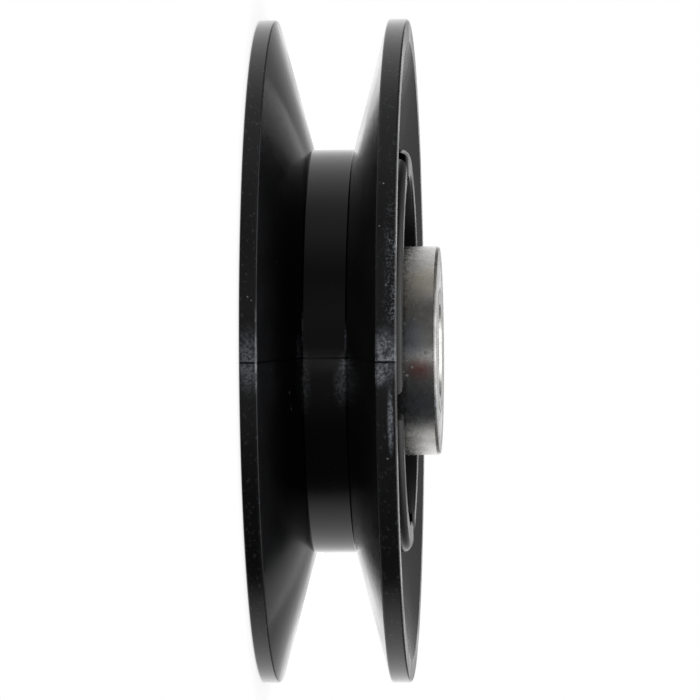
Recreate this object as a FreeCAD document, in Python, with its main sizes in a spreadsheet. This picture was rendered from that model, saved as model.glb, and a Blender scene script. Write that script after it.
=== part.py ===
"""Idler pulley: a moulded V-groove wheel on a sealed double-row ball bearing.

The pulley's axis is +Z. It lies on one rim face, which is at height 0, with the origin on the
axis, and the bearing stands proud of the other side. Lengths are in millimetres, angles in degrees.
"""
import FreeCAD, Part
import math
import os

import Sketcher

os.makedirs("parts", exist_ok=True)

SIZES = {
    # Moulded wheel
    "rim_radius": 63.5,
    "wheel_width": 28.4,
    "land_width": 3.42,
    "groove_offset": 0.2,
    "groove_floor_radius": 38.6,
    "groove_floor_width": 8.1,
    "rim_face_width": 4.3,
    "dish_depth": 5.4,
    "core_wall": 5.0,
    "web_thickness": 4.5,
    "hub_wall": 4.2,
    "hub_recess": 3.4,
    "cavity_draft": 0.5,
    "lead_in": 0.8,
    "shoulder_reach": 3.4,
    "shoulder_thickness": 3.0,
    "rib_count": 8,
    "rib_thickness": 2.6,
    "rib_recess": 1.2,
    "rib_root": 1.5,
    "notch_count": 4,
    "notch_angle": 15.9,
    "notch_width": 5.0,
    "notch_depth": 4.0,
    "notch_round": 0.8,
    "edge_round": 0.4,
    "core_round": 1.75,
    "floor_round": 0.3,
    "root_round": 1.0,
    # Bearing rings
    "bore_radius": 8.5,
    "bearing_radius": 20.0,
    "bearing_width": 17.5,
    "bearing_stand_out": 5.6,
    "corner_round": 0.8,
    "bore_chamfer": 0.6,
    # Balls and cages
    "ball_count": 8,
    "ball_share": 0.5522,
    "ball_clearance": 0.05,
    "land_share": 0.6457,
    "race_closeness": 1.04,
    "cage_gap": 0.55,
    "cage_seal_gap": 0.25,
    "cage_back": 0.675,
    "pocket_clearance": 0.15,
    "prong_reach": 1.2,
    "cage_relief_width": 1.8,
    # Seals
    "seal_recess": 0.15,
    "seal_thickness": 1.0,
    "seal_ledge": 1.05,
    "seal_undercut": 0.4,
    "seal_mouth_depth": 0.4,
    "seal_fit": 0.02,
    "lip_step": 0.6,
    "lip_step_width": 1.5,
    "lip_height": 1.0,
    "lip_edge_top": 0.75,
    "lip_edge_bottom": 0.5,
    "lip_root_bottom": 0.35,
    "lip_clearance": 0.06,
    "insert_thickness": 0.4,
    "insert_margin": 0.9,
}

document = FreeCAD.newDocument("IdlerPulley")
sheet = document.addObject("Spreadsheet::Sheet", "Sizes")
for row, (alias, size) in enumerate(SIZES.items(), start=1):
    sheet.set("A%d" % row, alias)
    sheet.set("B%d" % row, str(size))
    sheet.setAlias("B%d" % row, alias)
document.recompute()

# Places worked out from the sizes
WIDTH = "Sizes.wheel_width"
GROOVE_MIDDLE = "(Sizes.wheel_width / 2 - Sizes.groove_offset)"
CORE_INSIDE = "(Sizes.groove_floor_radius - Sizes.core_wall)"
HUB_RADIUS = "(Sizes.bearing_radius + Sizes.hub_wall)"
HUB_TOP = "(Sizes.wheel_width - Sizes.hub_recess)"
WEB_TOP = "((Sizes.wheel_width + Sizes.web_thickness) / 2)"
WEB_BOTTOM = "((Sizes.wheel_width - Sizes.web_thickness) / 2)"
RIM_INSIDE = "(Sizes.rim_radius - Sizes.rim_face_width)"
SHOULDER_RADIUS = "(Sizes.bearing_radius - Sizes.shoulder_reach)"
BEARING_TOP = "(Sizes.wheel_width + Sizes.bearing_stand_out)"
BEARING_BOTTOM = "(Sizes.wheel_width + Sizes.bearing_stand_out - Sizes.bearing_width)"
BEARING_MIDDLE = "(Sizes.wheel_width + Sizes.bearing_stand_out - Sizes.bearing_width / 2)"
PITCH_RADIUS = "((Sizes.bore_radius + Sizes.bearing_radius) / 2)"
BALL_RADIUS = "((Sizes.bearing_radius - Sizes.bore_radius) / 2 * Sizes.ball_share)"
LAND_OFFSET = "(" + BALL_RADIUS + " * Sizes.land_share)"
INNER_LAND = "(" + PITCH_RADIUS + " - " + LAND_OFFSET + ")"
OUTER_LAND = "(" + PITCH_RADIUS + " + " + LAND_OFFSET + ")"
RACE_RADIUS = "(" + BALL_RADIUS + " * Sizes.race_closeness)"
SEAL_LAND = "(" + INNER_LAND + " - Sizes.lip_step)"
SEAL_MOUTH = "(" + OUTER_LAND + " + Sizes.seal_ledge)"
SEAL_GROOVE = "(" + OUTER_LAND + " + Sizes.seal_ledge + Sizes.seal_undercut)"
SEAL_FLOOR = "(Sizes.seal_recess + Sizes.seal_thickness)"
POCKET_RADIUS = "(" + BALL_RADIUS + " + Sizes.pocket_clearance)"
ROW_OFFSET = ("(Sizes.bearing_width / 2 - " + SEAL_FLOOR + " - Sizes.cage_seal_gap"
              " - Sizes.cage_back - " + POCKET_RADIUS + ")")
CAGE_INSIDE = "(" + INNER_LAND + " + Sizes.cage_gap)"
CAGE_OUTSIDE = "(" + OUTER_LAND + " - Sizes.cage_gap)"
CAGE_HEIGHT = "(Sizes.prong_reach + " + POCKET_RADIUS + " + Sizes.cage_back)"


def value(expression):
    """Give the number that an expression over the sheet comes to."""
    result = sheet.evalExpression(expression)
    return float(getattr(result, "Value", result))


def plane(body, role):
    """Give one of a body's own origin planes or axes by its role."""
    for feature in body.Origin.OriginFeatures:
        if feature.Role == role:
            return feature
    raise ValueError(role)


def new_body(label):
    """Start a named body."""
    body = document.addObject("PartDesign::Body", label)
    body.Label = label
    return body


def new_sketch(body, name, role):
    """Start a sketch on one of a body's origin planes."""
    sketch = body.newObject("Sketcher::SketchObject", name)
    sketch.AttachmentSupport = (plane(body, role), [""])
    sketch.MapMode = "FlatFace"
    return sketch


def pin_point(sketch, geometry, end, across, up):
    """Fix one point of a sketch at a place given by two expressions."""
    for kind, axis, expression in (("DistanceX", -2, across), ("DistanceY", -1, up)):
        size = value(expression)
        if abs(size) < 1e-9:
            sketch.addConstraint(Sketcher.Constraint("PointOnObject", geometry, end, axis))
            continue
        index = sketch.addConstraint(Sketcher.Constraint(kind, -1, 1, geometry, end, size))
        sketch.setExpression("Constraints[%d]" % index, expression)


def draw_outline(sketch, corners):
    """Draw a closed outline.

    Each corner is (across, up), and a straight line leads to the next one, or
    (across, up, radius, centre across, centre up), and an arc of that radius does.
    """
    ends = []
    for index, corner in enumerate(corners):
        following = corners[(index + 1) % len(corners)]
        start = FreeCAD.Vector(value(corner[0]), value(corner[1]), 0)
        stop = FreeCAD.Vector(value(following[0]), value(following[1]), 0)
        if len(corner) == 2:
            ends.append((sketch.addGeometry(Part.LineSegment(start, stop)), 1, 2))
            continue
        centre = FreeCAD.Vector(value(corner[3]), value(corner[4]), 0)
        first = math.atan2(start.y - centre.y, start.x - centre.x)
        last = math.atan2(stop.y - centre.y, stop.x - centre.x)
        circle = Part.Circle(centre, FreeCAD.Vector(0, 0, 1), value(corner[2]))
        anticlockwise = (last - first) % (2 * math.pi) < math.pi
        if anticlockwise:
            ends.append((sketch.addGeometry(Part.ArcOfCircle(circle, first, last)), 1, 2))
        else:
            ends.append((sketch.addGeometry(Part.ArcOfCircle(circle, last, first)), 2, 1))
    for index, (geometry, start_end, stop_end) in enumerate(ends):
        following = ends[(index + 1) % len(ends)]
        joint = Sketcher.Constraint("Coincident", geometry, stop_end, following[0], following[1])
        sketch.addConstraint(joint)
    for corner, (geometry, start_end, stop_end) in zip(corners, ends):
        pin_point(sketch, geometry, start_end, corner[0], corner[1])
        if len(corner) > 2:
            bend = Sketcher.Constraint("Radius", geometry, value(corner[2]))
            sketch.setExpression("Constraints[%d]" % sketch.addConstraint(bend), corner[2])


def revolve(body, name, corners):
    """Turn an outline of (radius, height) corners about the body's Z axis."""
    sketch = new_sketch(body, name + "_section", "XZ_Plane")
    draw_outline(sketch, corners)
    turned = body.newObject("PartDesign::Revolution", name)
    turned.Profile = sketch
    turned.ReferenceAxis = (sketch, ["V_Axis"])
    turned.Angle = 360
    document.recompute()
    return turned


def round_circles(body, base, name, radius, places):
    """Round the full circles of a turned shape that lie at the given (radius, height) places."""
    names = []
    for index, edge in enumerate(base.Shape.Edges, start=1):
        if not isinstance(edge.Curve, Part.Circle):
            continue
        for across, up in places:
            off_radius = abs(edge.Curve.Radius - value(across))
            off_height = abs(edge.Curve.Center.z - value(up))
            if off_radius < 1e-4 and off_height < 1e-4:
                names.append("Edge%d" % index)
    if len(names) != len(places):
        raise ValueError("%s: %d of %d edges found" % (name, len(names), len(places)))
    fillet = body.newObject("PartDesign::Fillet", name)
    fillet.Base = (base, names)
    fillet.setExpression("Radius", radius)
    document.recompute()
    return fillet


def repeat_about_axis(body, original, name, count):
    """Repeat a feature evenly about the body's Z axis."""
    pattern = body.newObject("PartDesign::PolarPattern", name)
    pattern.Originals = [original]
    pattern.Axis = (plane(body, "Z_Axis"), [""])
    pattern.Angle = 360
    pattern.setExpression("Occurrences", count)
    body.Tip = pattern
    document.recompute()
    return pattern


def make_wheel():
    """Mould the wheel: rims, V groove, dished flanges, notched core ring, ribbed web and hub."""
    body = new_body("pulley_wheel")
    half_floor = "Sizes.groove_floor_width / 2"
    groove_low = GROOVE_MIDDLE + " - " + half_floor
    groove_high = GROOVE_MIDDLE + " + " + half_floor
    land_low = "Sizes.land_width - Sizes.groove_offset"
    land_high = WIDTH + " - Sizes.land_width - Sizes.groove_offset"
    high_dish = WIDTH + " - Sizes.dish_depth"
    shoulder_low = BEARING_BOTTOM + " - Sizes.shoulder_thickness"
    floor = "Sizes.groove_floor_radius"
    turned = revolve(body, "wheel_turned", [
        ("Sizes.rim_radius", "0"),
        ("Sizes.rim_radius", land_low),
        (floor, groove_low),
        (floor, groove_high),
        ("Sizes.rim_radius", land_high),
        ("Sizes.rim_radius", WIDTH),
        (RIM_INSIDE, WIDTH),
        (floor, high_dish),
        (floor, WIDTH),
        (CORE_INSIDE, WIDTH),
        (CORE_INSIDE + " - Sizes.cavity_draft", WEB_TOP),
        (HUB_RADIUS + " + Sizes.cavity_draft", WEB_TOP),
        (HUB_RADIUS, HUB_TOP),
        ("Sizes.bearing_radius + Sizes.lead_in", HUB_TOP),
        ("Sizes.bearing_radius", HUB_TOP + " - Sizes.lead_in"),
        ("Sizes.bearing_radius", BEARING_BOTTOM),
        (SHOULDER_RADIUS, BEARING_BOTTOM),
        (SHOULDER_RADIUS, shoulder_low),
        ("Sizes.bearing_radius", shoulder_low),
        ("Sizes.bearing_radius", "Sizes.hub_recess"),
        (HUB_RADIUS, "Sizes.hub_recess"),
        (HUB_RADIUS + " + Sizes.cavity_draft", WEB_BOTTOM),
        (CORE_INSIDE + " - Sizes.cavity_draft", WEB_BOTTOM),
        (CORE_INSIDE, "0"),
        (floor, "0"),
        (floor, "Sizes.dish_depth"),
        (RIM_INSIDE, "0"),
    ])
    rims = round_circles(body, turned, "rim_rounds", "Sizes.edge_round", [
        ("Sizes.rim_radius", "0"),
        ("Sizes.rim_radius", land_low),
        ("Sizes.rim_radius", land_high),
        ("Sizes.rim_radius", WIDTH),
    ])
    cores = round_circles(body, rims, "core_rounds", "Sizes.core_round", [
        (floor, WIDTH),
        (floor, "0"),
    ])
    floors = round_circles(body, cores, "floor_rounds", "Sizes.floor_round", [
        (floor, groove_low),
        (floor, groove_high),
    ])
    round_circles(body, floors, "root_rounds", "Sizes.root_round", [
        (floor, high_dish),
        (floor, "Sizes.dish_depth"),
    ])
    cut_notches(body)
    add_ribs(body)
    body.Placement.Rotation = FreeCAD.Rotation(FreeCAD.Vector(0, 0, 1), value("Sizes.notch_angle"))
    return body


def cut_notches(body):
    """Cut the notches with rounded corners through the upper end of the core ring."""
    sketch = new_sketch(body, "notch_outline", "YZ_Plane")
    half = "Sizes.notch_width / 2"
    bend = "Sizes.notch_round"
    bottom = WIDTH + " - Sizes.notch_depth"
    above = WIDTH + " + " + bend
    draw_outline(sketch, [
        ("-(%s) - %s" % (half, bend), above),
        ("-(%s) - %s" % (half, bend), WIDTH, bend,
         "-(%s) - %s" % (half, bend), WIDTH + " - " + bend),
        ("-(%s)" % half, WIDTH + " - " + bend),
        ("-(%s)" % half, bottom + " + " + bend, bend,
         "-(%s) + %s" % (half, bend), bottom + " + " + bend),
        ("-(%s) + %s" % (half, bend), bottom),
        (half + " - " + bend, bottom, bend, half + " - " + bend, bottom + " + " + bend),
        (half, bottom + " + " + bend),
        (half, WIDTH + " - " + bend, bend, half + " + " + bend, WIDTH + " - " + bend),
        (half + " + " + bend, WIDTH),
        (half + " + " + bend, above),
    ])
    overrun = "Sizes.notch_round"
    sketch.setExpression("AttachmentOffset.Base.z", "Sizes.groove_floor_radius + " + overrun)
    before = body.Tip.Shape.Volume
    notch = body.newObject("PartDesign::Pocket", "notch")
    notch.Profile = sketch
    notch.setExpression("Length", "Sizes.core_wall + 2 * " + overrun)
    document.recompute()
    if notch.Shape.Volume >= before:
        raise ValueError("the notch cuts nothing")
    return repeat_about_axis(body, notch, "notches", "Sizes.notch_count")


def add_ribs(body):
    """Add the radial ribs that join hub and core on both sides of the web."""
    sketch = new_sketch(body, "rib_outline", "XY_Plane")
    inner = HUB_RADIUS + " - Sizes.rib_root"
    outer = CORE_INSIDE + " + Sizes.rib_root"
    half = "Sizes.rib_thickness / 2"
    draw_outline(sketch, [
        (inner, "-(%s)" % half),
        (outer, "-(%s)" % half),
        (outer, half),
        (inner, half),
    ])
    half_step = FreeCAD.Rotation(FreeCAD.Vector(0, 0, 1), value("180 / Sizes.rib_count"))
    sketch.AttachmentOffset = FreeCAD.Placement(FreeCAD.Vector(), half_step)
    sketch.setExpression("AttachmentOffset.Base.z", "Sizes.hub_recess + Sizes.rib_recess")
    rib = body.newObject("PartDesign::Pad", "rib")
    rib.Profile = sketch
    rib.setExpression("Length", WIDTH + " - 2 * (Sizes.hub_recess + Sizes.rib_recess)")
    document.recompute()
    return repeat_about_axis(body, rib, "ribs", "Sizes.rib_count")


def cut_races(body, name, centre_radius):
    """Turn the two raceways into a ring, one for each row of balls, about circles at a radius."""
    for row, sign in (("lower", "-"), ("upper", "+")):
        height = "Sizes.bearing_width / 2 %s %s" % (sign, ROW_OFFSET)
        sketch = new_sketch(body, "%s_%s_section" % (name, row), "XZ_Plane")
        centre = FreeCAD.Vector(value(centre_radius), value(height), 0)
        circle = Part.Circle(centre, FreeCAD.Vector(0, 0, 1), value(RACE_RADIUS))
        geometry = sketch.addGeometry(circle)
        pin_point(sketch, geometry, 3, centre_radius, height)
        bend = Sketcher.Constraint("Radius", geometry, value(RACE_RADIUS))
        sketch.setExpression("Constraints[%d]" % sketch.addConstraint(bend), RACE_RADIUS)
        before = body.Tip.Shape.Volume
        race = body.newObject("PartDesign::Groove", "%s_%s" % (name, row))
        race.Profile = sketch
        race.ReferenceAxis = (sketch, ["V_Axis"])
        race.Angle = 360
        document.recompute()
        if race.Shape.Volume >= before:
            raise ValueError("a raceway cuts nothing")


def make_outer_ring():
    """Turn the outer ring, with a seat for a seal at each end."""
    body = new_body("outer_ring")
    width = "Sizes.bearing_width"
    mouth = "(Sizes.seal_recess + Sizes.seal_mouth_depth)"
    turned = revolve(body, "outer_turned", [
        ("Sizes.bearing_radius", "0"),
        ("Sizes.bearing_radius", width),
        (SEAL_MOUTH, width),
        (SEAL_MOUTH, width + " - " + mouth),
        (SEAL_GROOVE, width + " - " + mouth),
        (SEAL_GROOVE, width + " - " + SEAL_FLOOR),
        (OUTER_LAND, width + " - " + SEAL_FLOOR),
        (OUTER_LAND, SEAL_FLOOR),
        (SEAL_GROOVE, SEAL_FLOOR),
        (SEAL_GROOVE, mouth),
        (SEAL_MOUTH, mouth),
        (SEAL_MOUTH, "0"),
    ])
    round_circles(body, turned, "outer_corners", "Sizes.corner_round", [
        ("Sizes.bearing_radius", "0"),
        ("Sizes.bearing_radius", width),
    ])
    cut_races(body, "outer_races",
              PITCH_RADIUS + " + " + BALL_RADIUS + " + Sizes.ball_clearance - " + RACE_RADIUS)
    body.setExpression("Placement.Base.z", BEARING_BOTTOM)
    return body


def make_inner_ring():
    """Turn the inner ring, with a step at each end that a seal lip runs on."""
    body = new_body("inner_ring")
    width = "Sizes.bearing_width"
    bore = "Sizes.bore_radius"
    chamfer = "Sizes.bore_chamfer"
    revolve(body, "inner_turned", [
        (bore + " + " + chamfer, "0"),
        (SEAL_LAND, "0"),
        (SEAL_LAND, "Sizes.lip_step_width"),
        (INNER_LAND, "Sizes.lip_step_width"),
        (INNER_LAND, width + " - Sizes.lip_step_width"),
        (SEAL_LAND, width + " - Sizes.lip_step_width"),
        (SEAL_LAND, width),
        (bore + " + " + chamfer, width),
        (bore, width + " - " + chamfer),
        (bore, chamfer),
    ])
    cut_races(body, "inner_races",
              PITCH_RADIUS + " - " + BALL_RADIUS + " - Sizes.ball_clearance + " + RACE_RADIUS)
    body.setExpression("Placement.Base.z", BEARING_BOTTOM)
    return body


def place_in_row(body, upper, height):
    """Stand a body at a height from the bearing's middle, or turned over below it.

    The lower row is turned by half the spacing of the balls, so that the rows are staggered.
    """
    if not upper:
        half_step = FreeCAD.Rotation(FreeCAD.Vector(0, 0, 1), value("180 / Sizes.ball_count"))
        turned_over = FreeCAD.Rotation(FreeCAD.Vector(1, 0, 0), 180)
        body.Placement.Rotation = half_step.multiply(turned_over)
    sign = "+" if upper else "-"
    body.setExpression("Placement.Base.z", "%s %s (%s)" % (BEARING_MIDDLE, sign, height))


def make_cage(label, upper):
    """Mould a snap cage: a ring with round pockets whose prongs close past the balls."""
    body = new_body(label)
    revolve(body, label + "_turned", [
        (CAGE_OUTSIDE, "0"),
        (CAGE_OUTSIDE, CAGE_HEIGHT),
        (CAGE_INSIDE, CAGE_HEIGHT),
        (CAGE_INSIDE, "0"),
    ])
    pocket = body.newObject("PartDesign::SubtractiveSphere", label + "_pocket")
    pocket.setExpression("Radius", POCKET_RADIUS)
    pocket.setExpression("Placement.Base.x", PITCH_RADIUS)
    pocket.setExpression("Placement.Base.z", "Sizes.prong_reach")
    document.recompute()
    repeat_about_axis(body, pocket, label + "_pockets", "Sizes.ball_count")
    cut_reliefs(body, label)
    place_in_row(body, upper, ROW_OFFSET + " - Sizes.prong_reach")
    return body


def cut_reliefs(body, label):
    """Part the prongs of neighbouring pockets with a slot, so that they can spring."""
    sketch = new_sketch(body, label + "_relief_outline", "XY_Plane")
    half = "Sizes.cage_relief_width / 2"
    draw_outline(sketch, [
        (INNER_LAND, "-(%s)" % half),
        (OUTER_LAND, "-(%s)" % half),
        (OUTER_LAND, half),
        (INNER_LAND, half),
    ])
    half_step = FreeCAD.Rotation(FreeCAD.Vector(0, 0, 1), value("180 / Sizes.ball_count"))
    sketch.AttachmentOffset = FreeCAD.Placement(FreeCAD.Vector(), half_step)
    before = body.Tip.Shape.Volume
    relief = body.newObject("PartDesign::Pocket", label + "_relief")
    relief.Profile = sketch
    relief.Reversed = True
    relief.setExpression("Length", "Sizes.prong_reach + " + BALL_RADIUS + " / 2")
    document.recompute()
    if relief.Shape.Volume >= before:
        raise ValueError("the reliefs cut nothing")
    repeat_about_axis(body, relief, label + "_reliefs", "Sizes.ball_count")


def make_balls(row, upper):
    """Make one row of balls, each a piece of its own."""
    sign = "+" if upper else "-"
    balls = []
    for index in range(int(value("Sizes.ball_count"))):
        step = index if upper else index + 0.5
        angle = "(%s * 360 / Sizes.ball_count)" % step
        label = "ball_%s_%d" % (row, index + 1)
        ball = document.addObject("Part::Sphere", label)
        ball.Label = label
        ball.setExpression("Radius", BALL_RADIUS)
        ball.setExpression("Placement.Base.x", "%s * cos(%s)" % (PITCH_RADIUS, angle))
        ball.setExpression("Placement.Base.y", "%s * sin(%s)" % (PITCH_RADIUS, angle))
        ball.setExpression("Placement.Base.z", "%s %s %s" % (BEARING_MIDDLE, sign, ROW_OFFSET))
        balls.append(ball)
    return balls


def make_seal(label, upper):
    """Mould a rubber seal: a bead held in the outer ring's groove, and a lip at the inner ring."""
    body = new_body(label)
    thick = "Sizes.seal_thickness"
    lip = "(" + SEAL_LAND + " + Sizes.lip_clearance)"
    lip_root = "(" + SEAL_LAND + " + Sizes.lip_height)"
    bead = "(" + SEAL_GROOVE + " - Sizes.seal_fit)"
    revolve(body, label + "_turned", [
        (bead, "0"),
        (bead, thick + " - Sizes.seal_mouth_depth - Sizes.seal_fit"),
        (SEAL_MOUTH + " - Sizes.seal_fit", thick + " - Sizes.seal_mouth_depth - Sizes.seal_fit"),
        (SEAL_MOUTH + " - Sizes.seal_fit", thick),
        (lip_root, thick),
        (lip, thick + " * Sizes.lip_edge_top"),
        (lip, thick + " * Sizes.lip_edge_bottom"),
        (lip_root, thick + " * Sizes.lip_root_bottom"),
        (lip_root, "0"),
        (lip_root + " + Sizes.insert_margin / 2", "0"),
        (lip_root + " + Sizes.insert_margin / 2", "Sizes.insert_thickness"),
        (SEAL_GROOVE + " - Sizes.insert_margin", "Sizes.insert_thickness"),
        (SEAL_GROOVE + " - Sizes.insert_margin", "0"),
    ])
    place_in_row(body, upper, "Sizes.bearing_width / 2 - " + SEAL_FLOOR)
    return body


def make_insert(label, upper):
    """Stamp the steel washer that stiffens a seal, in its recess on the seal's inner side."""
    body = new_body(label)
    inside = "(" + SEAL_LAND + " + Sizes.lip_height + Sizes.insert_margin / 2)"
    outside = "(" + SEAL_GROOVE + " - Sizes.insert_margin)"
    revolve(body, label + "_turned", [
        (outside, "0"),
        (outside, "Sizes.insert_thickness"),
        (inside, "Sizes.insert_thickness"),
        (inside, "0"),
    ])
    place_in_row(body, upper, "Sizes.bearing_width / 2 - " + SEAL_FLOOR)
    return body


pieces = [make_wheel(), make_outer_ring(), make_inner_ring()]
for row_name, is_upper in (("lower", False), ("upper", True)):
    pieces += make_balls(row_name, is_upper)
    pieces.append(make_cage("cage_" + row_name, is_upper))
    pieces.append(make_seal("seal_" + row_name, is_upper))
    pieces.append(make_insert("seal_insert_" + row_name, is_upper))
document.recompute()

for item in document.Objects:
    if "Invalid" in item.State or "Error" in item.State:
        raise RuntimeError("%s failed: %s" % (item.Label, item.State))
for piece in pieces:
    if piece.Shape.isNull() or not piece.Shape.isValid() or len(piece.Shape.Solids) != 1:
        raise RuntimeError("%s has no single valid solid" % piece.Label)
for piece in pieces:
    piece.Shape.exportStep(os.path.join("parts", piece.Label + ".step"))
    print("%-20s %10.2f mm3" % (piece.Label, piece.Shape.Volume))
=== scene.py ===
import logging
import math
from collections.abc import Callable, Sequence
from dataclasses import dataclass, field
from enum import Enum

import bmesh
import bpy
from mathutils import Matrix, Vector


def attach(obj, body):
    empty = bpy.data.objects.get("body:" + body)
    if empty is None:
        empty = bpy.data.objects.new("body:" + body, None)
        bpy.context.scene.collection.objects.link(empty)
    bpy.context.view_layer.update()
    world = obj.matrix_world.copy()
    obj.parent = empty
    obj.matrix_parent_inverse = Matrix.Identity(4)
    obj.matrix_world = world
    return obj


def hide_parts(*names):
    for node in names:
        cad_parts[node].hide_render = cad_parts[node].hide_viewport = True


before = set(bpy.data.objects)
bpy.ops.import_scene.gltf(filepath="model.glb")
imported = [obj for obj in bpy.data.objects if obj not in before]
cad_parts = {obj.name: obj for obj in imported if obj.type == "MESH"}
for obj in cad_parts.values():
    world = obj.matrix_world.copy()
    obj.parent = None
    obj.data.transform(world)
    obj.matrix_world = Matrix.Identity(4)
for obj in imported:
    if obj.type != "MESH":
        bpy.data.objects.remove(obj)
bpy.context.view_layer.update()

MM = 0.001
LOG = logging.getLogger("idler_pulley")

Point = tuple[float, float]
Place = tuple[float, float, float]
Colour = tuple[float, float, float, float]
Socket = bpy.types.NodeSocket
Inputs = dict[str | int, object]


# Working sections and meshes. Points of sections are in millimetres, and meshes in metres.


@dataclass(frozen=True)
class Corner:
    """A corner of a section in millimetres, with the radius that it is rounded to."""

    across: float
    up: float
    bend: float = 0.0
    steps: int = 5


def round_section(corners: Sequence[Corner]) -> list[Point]:
    """Round the corners of a closed section.

    Args:
        corners: The section's corners in order.

    Returns:
        The points of the closed outline, in millimetres.
    """
    points: list[Point] = []
    most = 0.49
    for index, corner in enumerate(corners):
        here = Vector((corner.across, corner.up))
        before = Vector((corners[index - 1].across, corners[index - 1].up)) - here
        following = corners[(index + 1) % len(corners)]
        after = Vector((following.across, following.up)) - here
        if corner.bend <= 0:
            points.append((here.x, here.y))
            continue
        half = before.angle(after) / 2
        reach = min(corner.bend / math.tan(half), most * before.length, most * after.length)
        bend = reach * math.tan(half)
        toward = (before.normalized() + after.normalized()).normalized()
        centre = here + toward * (bend / math.sin(half))
        first = here + before.normalized() * reach - centre
        last = here + after.normalized() * reach - centre
        sweep = first.angle_signed(last)
        for step in range(corner.steps + 1):
            turned = first.copy()
            turned.rotate(Matrix.Rotation(-sweep * step / corner.steps, 2))
            points.append((centre.x + turned.x, centre.y + turned.y))
    return points


def mirrored(half: Sequence[Corner], middle: float) -> list[Corner]:
    """Give half a section's corners and then their mirror images, back to where they began."""
    return [*half, *[Corner(corner.across, 2 * middle - corner.up, corner.bend, corner.steps)
                     for corner in reversed(half)]]


def even_turn(count: int) -> list[float]:
    """Give evenly spaced angles, in radians, for a full turn."""
    return [2 * math.pi * step / count for step in range(count)]


def about_axis(radius: float, turn: float, height: float) -> Place:
    """Give a point in metres from a radius and height in millimetres and an angle."""
    return radius * MM * math.cos(turn), radius * MM * math.sin(turn), height * MM


def band_faces(turns: int, size: int) -> list[tuple[int, ...]]:
    """Give the faces of a closed band that is turns sections long, each of size points.

    Args:
        turns: How many sections there are.
        size: How many points a section has.

    Returns:
        The faces as indices of points.
    """
    faces = []
    for turn in range(turns):
        following = (turn + 1) % turns
        for step in range(size):
            upper = (step + 1) % size
            faces.append((turn * size + step, following * size + step,
                          following * size + upper, turn * size + upper))
    return faces


def add_object(name: str, data: bpy.types.ID) -> bpy.types.Object:
    """Put a new object in the scene.

    Args:
        name: The object's name.
        data: Its mesh, camera or light.

    Returns:
        The object.
    """
    made = bpy.data.objects.new(name, data)
    bpy.context.scene.collection.objects.link(made)
    return made


def object_from(name: str, vertices: Sequence[Sequence[float]],
                faces: Sequence[Sequence[int]]) -> bpy.types.Object:
    """Make an object from points in metres and the faces between them.

    Args:
        name: The object's name.
        vertices: The points.
        faces: The faces as indices of points.

    Returns:
        The object.
    """
    mesh = bpy.data.meshes.new(name)
    mesh.from_pydata(vertices, [], faces)
    mesh.update()
    return add_object(name, mesh)


def turn_section(name: str, section: Sequence[Point], angles: Sequence[float],
                 relief: Callable[[float, Point], Point] | None = None) -> bpy.types.Object:
    """Turn a closed section about the axis.

    Args:
        name: The new object's name.
        section: The outline as (radius, height) in millimetres, anticlockwise.
        angles: The angles at which the section stands, in radians.
        relief: Gives how far a point of the section moves at an angle, in millimetres.

    Returns:
        The turned object.
    """
    vertices = []
    for angle in angles:
        for radius, height in section:
            out, rise = relief(angle, (radius, height)) if relief else (0.0, 0.0)
            vertices.append(about_axis(radius + out, angle, height + rise))
    return object_from(name, vertices, band_faces(len(angles), len(section)))


def extrude_outline(name: str, outline: Sequence[Point], start: float,
                    stop: float) -> bpy.types.Object:
    """Extrude a closed outline of (y, z) points along X.

    Args:
        name: The new object's name.
        outline: The outline in millimetres, anticlockwise seen from +X.
        start: The lower end along X in millimetres.
        stop: The upper end along X in millimetres.

    Returns:
        The closed prism.
    """
    size = len(outline)
    vertices = [(start * MM, y * MM, z * MM) for y, z in outline]
    vertices += [(stop * MM, y * MM, z * MM) for y, z in outline]
    faces: list[Sequence[int]] = [tuple(reversed(range(size))), tuple(range(size, 2 * size))]
    faces += [(step, (step + 1) % size, size + (step + 1) % size, size + step)
              for step in range(size)]
    return object_from(name, vertices, faces)


def bake(target: bpy.types.Object, name: str) -> bpy.types.Object:
    """Turn an object with live modifiers into a plain mesh under a new name.

    Args:
        target: The object to evaluate; it is removed.
        name: The name of the plain object.

    Returns:
        The plain object.
    """
    bpy.context.view_layer.update()
    ready = target.evaluated_get(bpy.context.evaluated_depsgraph_get())
    mesh = bpy.data.meshes.new_from_object(ready)
    mesh.name = name
    plain = add_object(name, mesh)
    bpy.data.objects.remove(target)
    plain.name = name
    return plain


def smooth(target: bpy.types.Object, angle: float = 32.0) -> None:
    """Shade an object smooth, with edges sharper than an angle in degrees left crisp.

    Args:
        target: The object to shade.
        angle: The sharpest edge that stays soft.
    """
    shape = bmesh.new()
    shape.from_mesh(target.data)
    for face in shape.faces:
        face.smooth = True
    for edge in shape.edges:
        edge.smooth = len(edge.link_faces) == 2 and edge.calc_face_angle() < math.radians(angle)
    shape.to_mesh(target.data)
    shape.free()
    weighted = target.modifiers.new("Weighted", "WEIGHTED_NORMAL")
    weighted.keep_sharp = True
    weighted.weight = 90


# Materials


def grey(level: float) -> Colour:
    """Give a grey between 0, black, and 1, white."""
    return level, level, level, 1.0


@dataclass(frozen=True)
class Mark:
    """A soft spot in degrees and millimetres, drawn out round the axis by its stretch; spots place
    wear, dust and stains, and also painted highlights, glints and reflections.
    """

    angle: float
    radius: float
    height: float
    reach: float
    strength: float
    stretch: float = 1.0


@dataclass(frozen=True)
class Where:
    """The object position and its angle, radius and height about the axis."""

    spot: Socket
    angle: Socket
    radius: Socket
    height: Socket


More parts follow.
